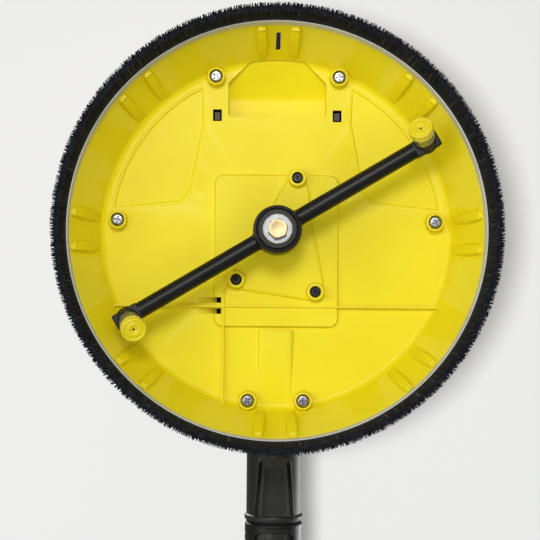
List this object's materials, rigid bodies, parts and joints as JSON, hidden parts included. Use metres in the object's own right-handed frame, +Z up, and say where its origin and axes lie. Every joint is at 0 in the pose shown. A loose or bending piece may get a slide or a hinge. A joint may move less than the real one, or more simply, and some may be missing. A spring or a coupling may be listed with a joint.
{
  "type": "surface cleaner",
  "caption": "Round surface cleaner head with a bristle skirt, spinning two-nozzle arm, tilting neck and extension tube for a pressure washer lance.",
  "frame": {"origin": "on the rotor's axis, at the plane of the bristle tips, where the head stands on the ground", "axes": "+Z up along the rotor's axis, -Y to the front hand hold, +Y along the neck to the operator, +X to the right"},
  "size_m": [0.291, 0.7783, 0.1404],
  "materials": {
    "yellow_plastic": "satin moulded",
    "pale_grey_plastic": "satin extruded",
    "bristles": "dense nylon filaments",
    "anthracite_plastic": "fine texture",
    "black_plastic": "satin moulded",
    "rubber": "soft matte",
    "stainless_steel": "turned",
    "zinc_plated_steel": "zinc plated",
    "blackened_steel": "black zinc",
    "brass": "machined"
  },
  "bodies": {
    "head": {"hood": "yellow_plastic", "brush_channel": "pale_grey_plastic", "bristle_skirt": "bristles", "top_cover": "anthracite_plastic", "grip_pad": "rubber", "wall_plug": "rubber", "cover_screw_1": "zinc_plated_steel", "cover_screw_2": "zinc_plated_steel", "cover_screw_3": "zinc_plated_steel", "cover_screw_4": "zinc_plated_steel", "cover_screw_5": "zinc_plated_steel", "cover_screw_6": "zinc_plated_steel", "housing_screw_1": "blackened_steel", "housing_screw_2": "blackened_steel", "housing_screw_3": "blackened_steel", "rotor_housing": "black_plastic", "housing_cap": "black_plastic", "shaft_seal": "rubber", "bearing_lower": "stainless_steel", "bearing_upper": "stainless_steel", "bearing_spacer": "stainless_steel", "trunnion_right": "brass", "trunnion_left": "brass", "trunnion_o_ring_right": "rubber", "trunnion_o_ring_left": "rubber", "feed_elbow": "brass", "feed_pipe": "rubber"},
    "rotor": {"rotor_arm": "black_plastic", "rotor_shaft": "stainless_steel", "hub_washer": "stainless_steel", "hub_bolt": "brass", "hub_o_ring_lower": "rubber", "hub_o_ring_upper": "rubber", "nozzle_body_1": "stainless_steel", "nozzle_body_2": "stainless_steel", "nozzle_cap_1": "yellow_plastic", "nozzle_cap_2": "yellow_plastic"},
    "lance": {"neck": "anthracite_plastic", "neck_pipe": "stainless_steel", "coupling": "black_plastic", "collar_ring": "rubber", "tube_plug": "black_plastic", "pressure_pipe": "stainless_steel", "extension_tube": "black_plastic", "inlet_connector": "black_plastic", "inlet_o_ring": "rubber"},
    "button": {"release_button": "anthracite_plastic", "button_spring": "stainless_steel"}
  },
  "joints": [
    {"name": "rotor_spin", "type": "hinge", "parent": "head", "child": "rotor", "pos_m": [0, 0, 0.03], "axis": [0, 0, 1], "continuous": true},
    {"name": "neck_tilt", "type": "hinge", "parent": "head", "child": "lance", "pos_m": [0, 0.054, 0.073], "axis": [1, 0, 0], "range_deg": [0, 75]},
    {"name": "button_press", "type": "slide", "parent": "lance", "child": "button", "axis": [0, -0.0872, 0.9962], "range_m": [0, 0.003], "stiffness_N_per_m": 600, "springref_m": -0.002}
  ]
}
